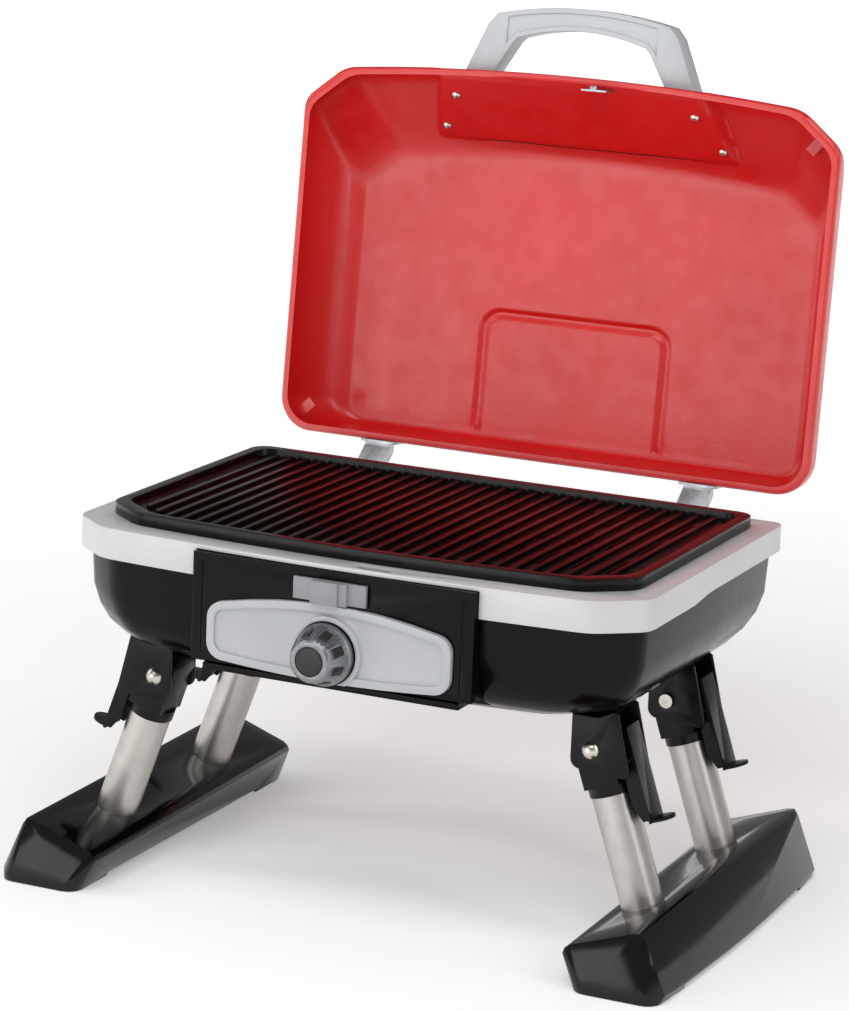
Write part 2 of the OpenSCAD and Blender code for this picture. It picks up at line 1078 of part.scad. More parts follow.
module stem_spring() {
    color("#b8babd")
        on_body()
            translate([0, valve_y - 16.4, knob_z])
                rotate([90, 0, 0])
                    coil(5, 0.4, 1.5, 3);
}

// Seat of the return spring; it slides with the stem but doesn't turn.
module stem_collar() {
    color("#b8babd")
        on_body()
            translate([0, valve_y - 22.2, knob_z])
                difference() {
                    rod_y(6.4, 1);
                    rod_y(3 + run_gap, 4);
                }
}

knob_back = -8.5;
knob_long = knob_back - knob_front;
stem_back = valve_y - 6;
stem_front = apex_y + knob_back - 14;

module knob_body() {
    r = knob_d / 2;
    color("#b9bbbd")
        on_body()
            translate([0, apex_y + knob_back, knob_z])
                rotate([90, 0, 0])
                    difference() {
                        rotate_extrude()
                            polygon([
                                [0, 0], [r, 0], [r, 4.4], [r - 1.4, 6.4], [15, knob_long - 1.6],
                                [13.4, knob_long], [10.4, knob_long],
                                [10.4, knob_long - 1.6], [0, knob_long - 1.6]
                            ]);
                        // D-shaped bore on the stem.
                        difference() {
                            translate([0, 0, -1])
                                cylinder(r = 3 + run_gap, h = 16);
                            translate([-4, 1.86, -2])
                                cube([8, 4, 18]);
                        }
                        for (i = [0:7])
                            rotate([0, 0, 22.5 + i * 45])
                                knob_inlay(0.1);
                    }
}

// One dark inlay set into the knob's cone.
module knob_inlay(t) {
    translate([17.6, 0, 13.6])
        rotate([0, -17, 0])
            translate([-2.6, -3.2 - t, -4.6 - t])
                cube([6, 6.4 + 2 * t, 9.2 + 2 * t]);
}

module knob_inlays() {
    color("#3c3b3b")
        on_body()
            translate([0, apex_y + knob_back, knob_z])
                rotate([90, 0, 0])
                    intersection() {
                        union() {
                            for (i = [0:7])
                                rotate([0, 0, 22.5 + i * 45])
                                    knob_inlay(0);
                        }
                        rotate_extrude()
                            polygon([
                                [10, 6], [knob_d / 2 - 0.8, 6], [15.6, knob_long - 1.6],
                                [10, knob_long - 1.6]
                            ]);
                    }
}

module knob_cap() {
    color("#3c3b3b")
        on_body()
            translate([0, apex_y + knob_front + 1.6, knob_z])
                rotate([90, 0, 0])
                    rotate_extrude()
                        polygon([[0, 0], [10.2, 0], [10.2, 1.2], [9.4, 2], [0, 2.2]]);
}

// ---------- lid, drawn closed ----------

// Outer or inner form of the lid; t is the wall taken off all round.
module lid_form(t) {
    hull() {
        lid_level(top_z + gap, t, t, t);
        lid_level(top_z + 18, 1 + t, 4 + t, 1 + t);
        lid_level(top_z + 36, 7 + t, 26 + t, 2 + t);
        lid_level(top_z + 52, 17 + t, 46 + t, 5 + t);
        lid_level(top_z + lid_h - 0.4 - t, 29 + t, panel_set + t, 12 + t);
    }
}

seat_tilt = 45;

// Dished seat of the handle plate, cut square to the front slope; t grows it.
module handle_seat(t) {
    on_slope()
        translate([0, 0, -6 - t])
            linear_extrude(40)
                polygon([[-106 - t, -60], [106 + t, -60], [125 + t, 32 + t], [-125 - t, 32 + t]]);
}

// Frame on the lid's front slope: +Z points out of the slope and +Y runs up it.
module on_slope() {
    translate([0, corner_front + 22, top_z + 35])
        rotate([seat_tilt, 0, 0])
            children();
}

module lid_shell() {
    w = 1.4;
    color("#c8202a")
        lid_pose()
            union() {
                difference() {
                    difference() {
                        lid_form(0);
                        handle_seat(0);
                    }
                    difference() {
                        lid_form(w);
                        handle_seat(w);
                    }
                    translate([0, 0, top_z - 1])
                        linear_extrude(4)
                            lid_plan(w + 0.2, w + 0.2, w + 0.2);
                }
                // Flange turned in round the rim.
                translate([0, 0, top_z + gap])
                    linear_extrude(1.6)
                        difference() {
                            lid_plan(0, 0, 0);
                            lid_plan(6, 6, 6);
                        }
            }
}

// Rest tab with a turned-down end; +X points at the lid's wall.
module lid_tab(x, y, z, turn) {
    translate([x, y, z])
        rotate([0, 0, turn]) {
            translate([-6.5, -4, 0])
                cube([13, 8, 1.6]);
            translate([5, -4, -2.4])
                cube([1.5, 8, 4]);
        }
}

module lid_tabs() {
    color("#d4434a")
        lid_pose() {
            lid_tab(188, corner_front + 26.5, top_z + 25, -51);
            lid_tab(-197.5, rear_y - 17.5, top_z + 12, 135);
        }
}

module lid_catch() {
    y = apex_y + 8.8;
    color("#c3c5c8")
        lid_pose()
            union() {
                translate([16, y, top_z - 12])
                    cube([20, 1.6, 23]);
                translate([23, y - 2.6, top_z - 12])
                    cube([5, 3, 1.6]);
            }
}

module catch_rivets() {
    y = apex_y + 10.4;
    color("#c3c5c8")
        lid_pose()
            for (x = [21, 31])
                translate([x, y, top_z + 7])
                    rotate([-90, 0, 0])
                        domed(2.4, 1.3, 1.2, 1.5);
}

module handle_plate() {
    color("#1a1817")
        lid_pose()
            intersection() {
                on_slope()
                    translate([0, 0, -5.8])
                        linear_extrude(7.8)
                            polygon([[-108, -26], [108, -26], [120, 29], [-120, 29]]);
                translate([0, 0, top_z + 6])
                    linear_extrude(lid_h)
                        lid_plan(10, -4, 0);
            }
}

// Side outline of the handle, seen from above the closed lid: u across, v forwards.
function handle_outer() =
    let (w = handle_w / 2, r = handle_reach, n = 12)
    concat(
        [[w, -34], [w - 1, 0], [w - 17, r - 16]],
        [for (i = [0:n]) let (t = 1 - 2 * i / n) [t * (w - 24), r - 8 + 8 * (1 - t * t)]],
        [[17 - w, r - 16], [1 - w, 0], [-w, -34]]
    );

function handle_inner() =
    let (w = handle_w / 2 - 24, r = handle_reach - 17, n = 12)
    concat(
        [[w, -40], [w - 1, 2], [w - 14, r - 12]],
        [for (i = [0:n]) let (t = 1 - 2 * i / n) [t * (w - 18), r - 8 + 8 * (1 - t * t)]],
        [[14 - w, r - 12], [1 - w, 2], [-w, -40]]
    );

module handle() {
    thick = 20;
    color("#c9cccf")
        lid_pose()
            difference() {
                translate([0, corner_front - 5, top_z + 30])
                    difference() {
                        translate([0, 0, -thick / 2])
                            linear_extrude(thick)
                                rotate([0, 0, 180])
                                    difference() {
                                        polygon(handle_outer());
                                        polygon(handle_inner());
                                    }
                        // Long shallow recess in the underside of the grip.
                        translate([0, 0, -thick / 2 - 1])
                            linear_extrude(2.4)
                                intersection() {
                                    rotate([0, 0, 180])
                                        offset(delta = -4)
                                            difference() {
                                                polygon(handle_outer());
                                                polygon(handle_inner());
                                            }
                                    translate([-60, -80])
                                        square([120, 60]);
                                }
                    }
                // The feet end on the handle plate.
                on_slope()
                    translate([-150, -60, -42])
                        cube([300, 160, 44]);
            }
}

module handle_screws() {
    color("#b8babd")
        lid_pose()
            for (s = [-1, 1], v = [-18, 16])
                on_slope()
                    translate([s * (v < 0 ? 96 : 112), v, -7.5])
                        rotate([180, 0, 0])
                            domed(3.6, 2, 2, 7.5);
}

module hinge_leaves() {
    r = 6;
    wide = 22;
    color("#c3c5c8")
        lid_pose()
            for (s = [-1, 1])
                translate([s * hinge_x, 0, 0])
                    difference() {
                        union() {
                            translate([-15, base_d / 2, top_z + 3])
                                cube([30, 1.8, 16]);
                            along_x(wide)
                                union() {
                                    translate([hinge_y, hinge_z])
                                        circle(r = r);
                                    polygon([
                                        [base_d / 2 + 1, top_z + 3], [base_d / 2 + 4, top_z + 2.4],
                                        [hinge_y - r, hinge_z + 1], [hinge_y - 1, hinge_z + r],
                                        [base_d / 2 + 8, top_z + 8], [base_d / 2 + 1, top_z + 8]
                                    ]);
                                }
                        }
                        translate([0, hinge_y, hinge_z])
                            rod_x(2.5 + run_gap, 60);
                    }
}

module leaf_rivets() {
    color("#b8babd")
        lid_pose()
            for (s = [-1, 1], x = [-8, 8])
                translate([s * hinge_x + x, base_d / 2 - 1.9, top_z + 13])
                    rotate([90, 0, 0])
                        domed(2.6, 1.3, 1.3, 3.4);
}

firebox();
trim_band();
control_housing();
control_plate();
latch_guide();
burner_tube();
burner_supports();
venturi();
gas_valve();
valve_bracket();
inlet_pipe();
gas_inlet();
igniter_electrode();
tray_rails();
bracket_front_left();
bracket_rear_left();
bracket_front_right();
bracket_rear_right();
bracket_rivets();
leg_bolts();
hinge_brackets();
hinge_pins();
hinge_screws();
cooking_plate();
drip_tray();
latch_slider();
valve_stem();
stem_collar();
stem_spring();
knob_body();
knob_cap();
knob_inlays();
lid_shell();
lid_tabs();
lid_catch();
catch_rivets();
handle_plate();
handle();
handle_screws();
hinge_leaves();
leaf_rivets();
foot_left();
tube_front_left();
tube_rear_left();
fitting_front_left();
fitting_rear_left();
lever_pins_left();
foot_right();
tube_front_right();
tube_rear_right();
fitting_front_right();
fitting_rear_right();
lever_pins_right();
lever_front_left();
lever_rear_left();
lever_front_right();
lever_rear_right();
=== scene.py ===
# %% [markdown]
# # A portable tabletop grill
#
# This notebook dresses a ready-made CAD model of a briefcase-style gas grill: a black enamelled firebox
# with a silver band, a red pressed lid that stands open, and two folding leg frames.
# The CAD model gives every size and every joint. Our job is how the pieces look: their soft edges,
# their pressed forms and their surfaces.
#
# The first cell loads the CAD model.

# %% Load the grill
import json
import math

import bpy
from mathutils import Matrix, Vector

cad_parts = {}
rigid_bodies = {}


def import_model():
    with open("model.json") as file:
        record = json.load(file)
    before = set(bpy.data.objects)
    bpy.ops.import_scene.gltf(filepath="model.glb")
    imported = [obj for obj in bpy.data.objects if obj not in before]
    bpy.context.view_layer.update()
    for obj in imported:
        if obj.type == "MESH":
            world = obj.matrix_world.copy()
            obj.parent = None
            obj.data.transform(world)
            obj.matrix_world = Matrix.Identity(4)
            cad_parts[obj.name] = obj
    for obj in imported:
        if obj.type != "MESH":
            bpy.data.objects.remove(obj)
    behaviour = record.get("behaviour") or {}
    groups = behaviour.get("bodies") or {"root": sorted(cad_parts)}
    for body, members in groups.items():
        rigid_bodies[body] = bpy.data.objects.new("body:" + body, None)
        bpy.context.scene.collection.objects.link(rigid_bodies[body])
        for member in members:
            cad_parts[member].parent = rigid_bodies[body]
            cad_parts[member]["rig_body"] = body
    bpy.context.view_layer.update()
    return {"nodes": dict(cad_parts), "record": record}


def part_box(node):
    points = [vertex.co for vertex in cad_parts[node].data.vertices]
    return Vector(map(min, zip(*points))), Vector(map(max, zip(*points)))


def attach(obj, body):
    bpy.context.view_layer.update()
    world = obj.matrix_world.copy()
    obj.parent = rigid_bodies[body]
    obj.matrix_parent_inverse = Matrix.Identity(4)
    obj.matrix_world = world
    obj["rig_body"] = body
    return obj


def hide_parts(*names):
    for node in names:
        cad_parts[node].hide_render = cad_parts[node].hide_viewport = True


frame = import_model()
MM = 0.001

# %% [markdown]
# ## The camera
#
# The grill is seen with a long lens from the front, a little from its right and a little from above.
# A long lens keeps the base and the lid in true proportion. We place the camera by two angles and
# a distance around a point in the middle of the grill, and let it lean by a small roll.

# %% Camera
VIEW_AZIMUTH = 24.26
VIEW_ELEVATION = 13.09
VIEW_ROLL = 2.38
VIEW_DISTANCE = 2.621
VIEW_TARGET = Vector((0.0001, -0.0524, 0.2756))
FOCAL_LENGTH = 133.0


def camera_axes(azimuth, elevation, roll):
    """Right, up and back of a camera that looks at the grill from these angles."""
    a, e, r = (math.radians(v) for v in (azimuth, elevation, roll))
    back = Vector((math.sin(a) * math.cos(e), -math.cos(a) * math.cos(e), math.sin(e)))
    level = Vector((math.cos(a), math.sin(a), 0))
    above = back.cross(level)
    right = math.cos(r) * level + math.sin(r) * above
    return right, back.cross(right), back


right, up, back = camera_axes(VIEW_AZIMUTH, VIEW_ELEVATION, VIEW_ROLL)
camera_data = bpy.data.cameras.new("view_camera")
camera_data.lens = FOCAL_LENGTH
camera_data.sensor_width = 36
camera_data.clip_end = 60
camera = bpy.data.objects.new("view_camera", camera_data)
bpy.context.scene.collection.objects.link(camera)
camera.matrix_world = Matrix.Translation(VIEW_TARGET + back * VIEW_DISTANCE) @ Matrix(
    (right, up, back)).transposed().to_4x4()
bpy.context.scene.camera = camera
print("camera stands at", [round(v, 3) for v in camera.location])

# %% [markdown]
# ## Colours and node helper
#
# A colour is easiest to write as the hex value that we would pick on a screen. Blender works with linear
# light, so one function turns the hex value into linear numbers.
#
# Every finish is a small node tree. One helper adds a node, sets its settings and links its inputs,
# which keeps each finish short enough to read as a recipe.


# %% Colour and node helpers
def linear(hex_colour):
    """A hex colour as the four linear numbers that a shader wants."""
    values = [int(hex_colour[i:i + 2], 16) / 255 for i in (1, 3, 5)]
    return tuple(v / 12.92 if v <= 0.04045 else ((v + 0.055) / 1.055) ** 2.4 for v in values) + (1.0,)


def add_node(tree, kind, inputs=None, **settings):
    """Adds a node; an input is a plain value or an output socket to link from."""
    new = tree.nodes.new(kind)
    for name, value in settings.items():
        setattr(new, name, value)
    for name, value in (inputs or {}).items():
        socket = new.inputs[name]
        if isinstance(value, bpy.types.NodeSocket):
            tree.links.new(value, socket)
        else:
            socket.default_value = value
    return new


def ramp(tree, factor, stops):
    """A colour ramp from a list of (place, colour) pairs."""
    made = add_node(tree, "ShaderNodeValToRGB", {"Fac": factor})
    elements = made.color_ramp.elements
    while len(elements) < len(stops):
        elements.new(0.5)
    for element, (place, colour) in zip(elements, stops):
        element.position = place
        element.color = colour if len(colour) == 4 else (*colour, 1)
    return made.outputs["Color"]


def new_finish(name, **shader_values):
    """An empty finish: its tree, its surface shader and the place on the piece in metres."""
    material = bpy.data.materials.new(name)
    material.use_nodes = True
    tree = material.node_tree
    tree.nodes.clear()
    shader = add_node(tree, "ShaderNodeBsdfPrincipled", shader_values)
    end = add_node(tree, "ShaderNodeOutputMaterial", {"Surface": shader.outputs["BSDF"]})
    place = add_node(tree, "ShaderNodeTexCoord").outputs["Object"]
    end.location.x = 300
    print("finish:", name)
    return material, tree, shader, place


print("white is", linear("#ffffff"), "and mid grey is", linear("#808080")[0])

# %% [markdown]
# ## Sprayed enamel
#
# Lid, firebox and housing are steel pressings with sprayed and baked enamel. Sprayed enamel never
# dries quite flat: it has a fine "orange peel" of waves 2 or 3 mm apart and up to about a tenth of a
# millimetre high. That peel breaks the edge of every reflection, and tells the eye that this is paint
# and not plastic. A wide, faint change of roughness on top stands for handling marks.


# %% Enamel function
def sprayed_enamel(name, base, deep, roughness, peel_mm, peel_height_mm, coat, specular=0.5):
    """Paint in two close tones; coat is the share of clear lacquer, specular the strength of its gloss."""
    material, tree, shader, place = new_finish(name, **{
        "IOR": 1.52, "Specular IOR Level": specular, "Coat Weight": coat, "Coat Roughness": 0.12})
    wide = add_node(tree, "ShaderNodeTexNoise", {"Vector": place, "Scale": 1 / 0.07, "Detail": 3.0})
    tone = ramp(tree, wide.outputs["Fac"], [(0.3, linear(deep)), (0.7, linear(base))])
    tree.links.new(tone, shader.inputs["Base Color"])
    rub = add_node(tree, "ShaderNodeTexNoise", {"Vector": place, "Scale": 1 / 0.018, "Detail": 5.0})
    spread = add_node(tree, "ShaderNodeMapRange", {
        "Value": rub.outputs["Fac"], "From Min": 0.3, "From Max": 0.7,
        "To Min": roughness * 0.8, "To Max": roughness * 1.25})
    tree.links.new(spread.outputs["Result"], shader.inputs["Roughness"])
    peel = add_node(tree, "ShaderNodeTexNoise", {
        "Vector": place, "Scale": 1 / (peel_mm * MM), "Detail": 2.0, "Roughness": 0.4})
    bump = add_node(tree, "ShaderNodeBump", {
        "Height": peel.outputs["Fac"], "Strength": 1.0, "Distance": peel_height_mm * MM})
    tree.links.new(bump.outputs["Normal"], shader.inputs["Normal"])
    return material


# Deep red with a broad, soft sheen that turns coral where the low lamp grazes it.
red_enamel = sprayed_enamel("red_enamel_lid", "#d0120f", "#c80b0b", 0.36, 2.6, 0.15, 0.3, 0.5)
# Near-black with long, sharp streaks of light on the firebox's belly.
black_enamel = sprayed_enamel("black_enamel_firebox", "#0a0706", "#080504", 0.2, 3.0, 0.03, 0.0, 0.13)
# The plate's rougher black, which breaks the lid's red reflection into glints on the ridges.
plate_enamel = sprayed_enamel("black_enamel_plate", "#080706", "#060504", 0.22, 1.8, 0.08, 0.0, 0.22)
# Pale grey-white band, the brightest line of the base.
silver_paint = sprayed_enamel("silver_white_band", "#cbc9ca", "#c4c2c4", 0.34, 2.0, 0.03, 0.1)
# A cooler, duller grey that sets the control plate off from the band.
panel_paint = sprayed_enamel("silver_control_panel", "#b3b5b9", "#abadb1", 0.38, 1.2, 0.02, 0.0)

# %% [markdown]
# ## Moulded plastic
#
# Feet, leg fittings, handle, latch and knob cap are injection mouldings. The mould's surface prints
# into them: a fine spark-eroded grain on the grips, and an almost polished skin on the feet. Handling
# leaves faint smears, drawn here as slow changes of roughness.


# %% Plastic function
def moulded_plastic(name, base, worn, roughness, grain_mm, grain_height_mm, specular=0.5, smear=0.25):
    """Plastic with the mould's grain; smear is how far handling changes the roughness."""
    material, tree, shader, place = new_finish(name, **{"IOR": 1.49, "Specular IOR Level": specular})
    wide = add_node(tree, "ShaderNodeTexNoise", {"Vector": place, "Scale": 1 / 0.05, "Detail": 4.0})
    tone = ramp(tree, wide.outputs["Fac"], [(0.35, linear(base)), (0.75, linear(worn))])
    tree.links.new(tone, shader.inputs["Base Color"])
    smears = add_node(tree, "ShaderNodeTexNoise", {
        "Vector": place, "Scale": 1 / 0.03, "Detail": 6.0, "Distortion": 1.2})
    spread = add_node(tree, "ShaderNodeMapRange", {
        "Value": smears.outputs["Fac"], "From Min": 0.3, "From Max": 0.7,
        "To Min": roughness * (1 - smear), "To Max": roughness * (1 + smear)})
    tree.links.new(spread.outputs["Result"], shader.inputs["Roughness"])
    grain = add_node(tree, "ShaderNodeTexVoronoi", {"Vector": place, "Scale": 1 / (grain_mm * MM)})
    bump = add_node(tree, "ShaderNodeBump", {
        "Height": grain.outputs["Distance"], "Strength": 0.6, "Distance": grain_height_mm * MM})
    tree.links.new(bump.outputs["Normal"], shader.inputs["Normal"])
    return material


# A polished skin that mirrors the tubes.
foot_plastic = moulded_plastic("gloss_black_foot", "#050505", "#090909", 0.13, 2.2, 0.015, 0.36)
# Satin black, one step duller than the feet.
fitting_plastic = moulded_plastic("satin_black_fitting", "#0a0808", "#0e0b0b", 0.30, 0.9, 0.03, 0.22)
# Light grey with a fine, dry grain that feels warm to the hand.
handle_plastic = moulded_plastic("light_grey_grip", "#bdc0c3", "#b6b9bc", 0.34, 0.8, 0.03)
# Mid grey, so that the thumb finds the latch against the black housing.
latch_plastic = moulded_plastic("mid_grey_latch", "#8b8d91", "#83858a", 0.40, 0.7, 0.03)
# Dark, matt cap and finger inlays of the knob.
knob_dark_plastic = moulded_plastic("dark_grey_knob", "#151414", "#1d1c1c", 0.42, 0.7, 0.03)
# Matt black seat under the handle.
seat_plastic = moulded_plastic("black_handle_seat", "#0f0f0f", "#181818", 0.38, 0.9, 0.04)
# The igniter's cream glaze.
ceramic = moulded_plastic("glazed_ceramic", "#ece8df", "#e2ddd2", 0.18, 2.0, 0.01)

# %% [markdown]
# ## Bare metals
#
# Drawn aluminium tube shows fine lines along its length, turned brass shows rings, and zinc-plated steel
# has a soft milky mottling. One function draws a metal whose grain is stretched along a chosen axis:
# noise that is squeezed hard across that axis and left long along it looks like brushing.


# %% Metal function
def bare_metal(name, base, dull, roughness, grain, depth_mm, tilt=0.0):
    """grain gives the pattern's size along X, Y and Z in millimetres, after turning by tilt about Y."""
    material, tree, shader, place = new_finish(name, **{"Metallic": 1.0})
    turned = add_node(tree, "ShaderNodeMapping", {"Vector": place, "Rotation": (0, tilt, 0)})
    squeezed = add_node(tree, "ShaderNodeMapping", {"Vector": turned.outputs["Vector"]})
    squeezed.inputs["Scale"].default_value = tuple(1 / (g * MM) for g in grain)
    lines = add_node(tree, "ShaderNodeTexNoise", {
        "Vector": squeezed.outputs["Vector"], "Scale": 1.0, "Detail": 4.0})
    wide = add_node(tree, "ShaderNodeTexNoise", {"Vector": place, "Scale": 1 / 0.012, "Detail": 3.0})
    tone = ramp(tree, wide.outputs["Fac"], [(0.3, linear(dull)), (0.7, linear(base))])
    tree.links.new(tone, shader.inputs["Base Color"])
    spread = add_node(tree, "ShaderNodeMapRange", {
        "Value": lines.outputs["Fac"], "From Min": 0.3, "From Max": 0.7,
        "To Min": roughness * 0.8, "To Max": roughness * 1.3})
    tree.links.new(spread.outputs["Result"], shader.inputs["Roughness"])
    bump = add_node(tree, "ShaderNodeBump", {
        "Height": lines.outputs["Fac"], "Strength": 0.7, "Distance": depth_mm * MM})
    tree.links.new(bump.outputs["Normal"], shader.inputs["Normal"])
    return material


# The tubes lean outwards by this angle, and their lines run along them.
LEAN = math.radians(19)
TUBE_LINES = (0.5, 0.5, 60)
# Warm satin aluminium with fine lines down its length, one finish for each side's lean.
tube_left_metal = bare_metal(
    "anodised_tube_left", "#c9c5c0", "#bdb9b4", 0.34, TUBE_LINES, 0.008, -LEAN)
tube_right_metal = bare_metal(
    "anodised_tube_right", "#c9c5c0", "#bdb9b4", 0.34, TUBE_LINES, 0.008, LEAN)
# Milky zinc on the small steel parts.
zinc_steel = bare_metal("zinc_plated_steel", "#c6c8cb", "#aeb1b5", 0.36, (4, 4, 4), 0.02)
# A brighter steel, so that each domed bolt catches one clear highlight.
bolt_steel = bare_metal("polished_bolt_steel", "#d2cdc4", "#bdb7ac", 0.24, (1.5, 1.5, 1.5), 0.01)
# Turned brass with rings across the valve.
valve_brass = bare_metal("machined_brass", "#c9a258", "#b28a42", 0.28, (9, 0.4, 0.4), 0.01)
# Brown, dulled steel of a burner that has seen heat.
burner_steel = bare_metal("heat_stained_steel", "#8e8377", "#6d6258", 0.42, (3, 3, 3), 0.02)
# Dark silver skirt of the knob.
knob_silver = bare_metal("silver_knob_coat", "#8d8f92", "#808285", 0.36, (2, 2, 2), 0.01)
# Sheet with rolling lines from side to side.
tray_metal = bare_metal("rolled_tray_sheet", "#c0c3c6", "#aaadb1", 0.38, (40, 0.6, 0.6), 0.01)

FINISHES = {
    "firebox_enamel": black_enamel, "trim_paint": silver_paint, "housing_enamel": black_enamel,
    "panel_paint": panel_paint, "latch_plastic": latch_plastic, "zinc_steel": zinc_steel,
    "burner_steel": burner_steel, "valve_brass": valve_brass, "ceramic": ceramic,
    "bracket_paint": fitting_plastic, "bolt_steel": bolt_steel, "plate_enamel": plate_enamel,
    "tray_steel": tray_metal, "knob_silver": knob_silver, "knob_dark": knob_dark_plastic,
    "lid_red": red_enamel, "handle_base": seat_plastic, "handle_grey": handle_plastic,
    "foot_plastic": foot_plastic, "tube_aluminium": tube_right_metal, "fitting_plastic": fitting_plastic,
}

# %% [markdown]
# ## Dressing the CAD parts
#
# Every CAD part keeps the material slot that the record names. We swap that plain slot for the
# finish of the same name. The left tubes lean the other way, so they get their own brushed lines.

# %% Finishes on the CAD parts
SLOT_OF = {part["node"]: part["material_slot"] for part in frame["record"]["subparts"]}


def finish_for(node_name):
    if node_name in ("tube_front_left", "tube_rear_left"):
        return tube_left_metal
    return FINISHES[SLOT_OF[node_name]]


for node_name, cad_part in frame["nodes"].items():
    cad_part.data.materials.clear()
    cad_part.data.materials.append(finish_for(node_name))
print("dressed", len(frame["nodes"]), "CAD parts")

# %% [markdown]
# ## Softening the edges
#
# No real pressing or moulding has knife edges. A CAD part whose form is right only needs its edges
# rounded: we copy its mesh, merge the loose triangles into whole faces, and bevel every
# edge that is sharper than a set angle. The copy then stands for the CAD part in the picture.


# %% Edge helpers
def deselect_all():
    if bpy.context.object and bpy.context.object.mode != "OBJECT":
        bpy.ops.object.mode_set(mode="OBJECT")
    bpy.ops.object.select_all(action="DESELECT")


def make_active(piece):
    deselect_all()
    piece.select_set(True)
    bpy.context.view_layer.objects.active = piece


def settle(piece, node_name, smooth_angle=35):
    """Shades the finished piece, gives it its finish and lets it stand for its CAD part."""
    make_active(piece)
    bpy.ops.object.transform_apply(location=True, rotation=True, scale=True)
    bpy.ops.object.shade_smooth_by_angle(angle=math.radians(smooth_angle))
    piece.data.materials.clear()
    piece.data.materials.append(finish_for(node_name))
    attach(piece, frame["nodes"][node_name]["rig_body"])
    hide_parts(node_name)
    return piece


def soften(node_name, width_mm, segments=2, angle=32):
    """A copy of a CAD part with rounded edges."""
    source = frame["nodes"][node_name]
    piece = bpy.data.objects.new(node_name + "_rounded", source.data.copy())
    bpy.context.scene.collection.objects.link(piece)
    make_active(piece)
    bpy.ops.object.mode_set(mode="EDIT")
    bpy.ops.mesh.select_all(action="SELECT")
    bpy.ops.mesh.remove_doubles(threshold=0.00002)
    bpy.ops.mesh.dissolve_limited(angle_limit=math.radians(0.6))
    bpy.ops.object.mode_set(mode="OBJECT")
    bevel = piece.modifiers.new("rounded_edges", "BEVEL")
    bevel.width = width_mm * MM
    bevel.segments = segments
    bevel.limit_method = "ANGLE"
    bevel.angle_limit = math.radians(angle)
    bevel.use_clamp_overlap = True
    bpy.ops.object.modifier_apply(modifier=bevel.name)
    return settle(piece, node_name)


# %% Round the boxy parts
EDGE_WIDTHS = {
    "trim_band": 1.1, "firebox": 1.4, "control_housing": 1.4, "control_plate": 0.9, "latch_slider": 1.0,
    "cooking_plate": 1.4, "handle": 2.6, "handle_plate": 1.0, "knob_body": 0.7, "knob_cap": 0.4,
    "knob_inlays": 0.3, "lid_catch": 0.3, "hinge_brackets": 0.5, "hinge_leaves": 0.5,
    "foot_left": 2.6, "foot_right": 2.6, "drip_tray": 0.5, "tray_rails": 0.4,
}
for side in ("left", "right"):
    for end in ("front", "rear"):
        EDGE_WIDTHS[f"bracket_{end}_{side}"] = 0.6
        EDGE_WIDTHS[f"lever_{end}_{side}"] = 0.5
        EDGE_WIDTHS[f"fitting_{end}_{side}"] = 1.0
rounded = {name: soften(name, width) for name, width in EDGE_WIDTHS.items()}
for name, piece in rounded.items():
    print(f"{name}: {len(piece.data.polygons)} faces")

# %% [markdown]
# ## The pressed lid
#
# The real lid is one sheet of steel, pressed over a die. Its walls run into the flat top in one
# flowing curve, a U-shaped bead stiffens the flat, and the front slope is pushed in to seat the handle.
# A lathe or a bevelled box can't give that flow. So we press a sheet ourselves: a flat grid is the blank,
# and each ring of its points is laid on one level of the die. The outer rings become the turned-in rim
# and the walls, and the middle stays the flat top. We work on the closed lid, measured in millimetres
# from the hinge axis, and swing it open at the end.

# %% The die's levels
HALF_WIDTH = (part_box("trim_band")[1][0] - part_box("trim_band")[0][0]) / 2 / MM
# The rim's front and rear edge, and its height, as seen from the hinge axis.
FRONT, REAR, RIM = -309.0, -29.0, 18.5
# The front edge bows out a little, and its corners are cut off by this much along X and Y.
BOW = 9.0
CORNER = (32.0, 26.0)
# Rounding of the rear corners at the rim; it tightens to the second value up the wall.
REAR_RADIUS = (26, 8)
# Height over the rim, then how far the sides, the front and the rear are drawn in.
DIE = [
    (0.2, 5.6, 5.6, 5.6),     # inner edge of the turned-in rim
    (0.0, 4.0, 4.0, 4.0),
    (0.0, 1.4, 1.4, 1.4),
    (1.4, 0.0, 0.0, 0.0),     # fold between rim and wall
    (8.0, 0.2, 1.2, 0.2),
    (18.0, 1.2, 4.2, 0.8),
    (36.0, 7.2, 26.2, 1.8),
    (51.0, 17.0, 45.6, 3.0),
    (58.0, 25.0, 57.5, 4.6),  # the walls flow over into the top
    (60.4, 31.0, 64.0, 6.6),
    (60.8, 40.0, 74.0, 12.0),
]
# Rings of the blank that go into rim and walls, and squares along each side of the blank.
RINGS = 36
BLANK = 200


def smoothed(knots, rounds=3):
    """Cuts the corners off a list of levels, again and again, until it runs like a curve."""
    for _ in range(rounds):
        cut = [knots[0]]
        for a, b in zip(knots, knots[1:]):
            cut.append(tuple(0.75 * p + 0.25 * q for p, q in zip(a, b)))
            cut.append(tuple(0.25 * p + 0.75 * q for p, q in zip(a, b)))
        knots = cut + [knots[-1]]
    return knots


def spaced(points, count):
    """Points at even steps along a polyline, both ends included."""
    run = [0.0]
    for a, b in zip(points, points[1:]):
        run.append(run[-1] + math.dist(a, b))
    placed, k = [], 0
    for i in range(count + 1):
        goal = run[-1] * i / count
        while k < len(run) - 2 and run[k + 1] < goal:
            k += 1
        part = (goal - run[k]) / max(run[k + 1] - run[k], 1e-9)
        placed.append(tuple(p + part * (q - p) for p, q in zip(points[k], points[k + 1])))
    return placed


levels = spaced(smoothed(DIE), RINGS)
print("die levels:", len(levels), "from", levels[0], "to", levels[-1])

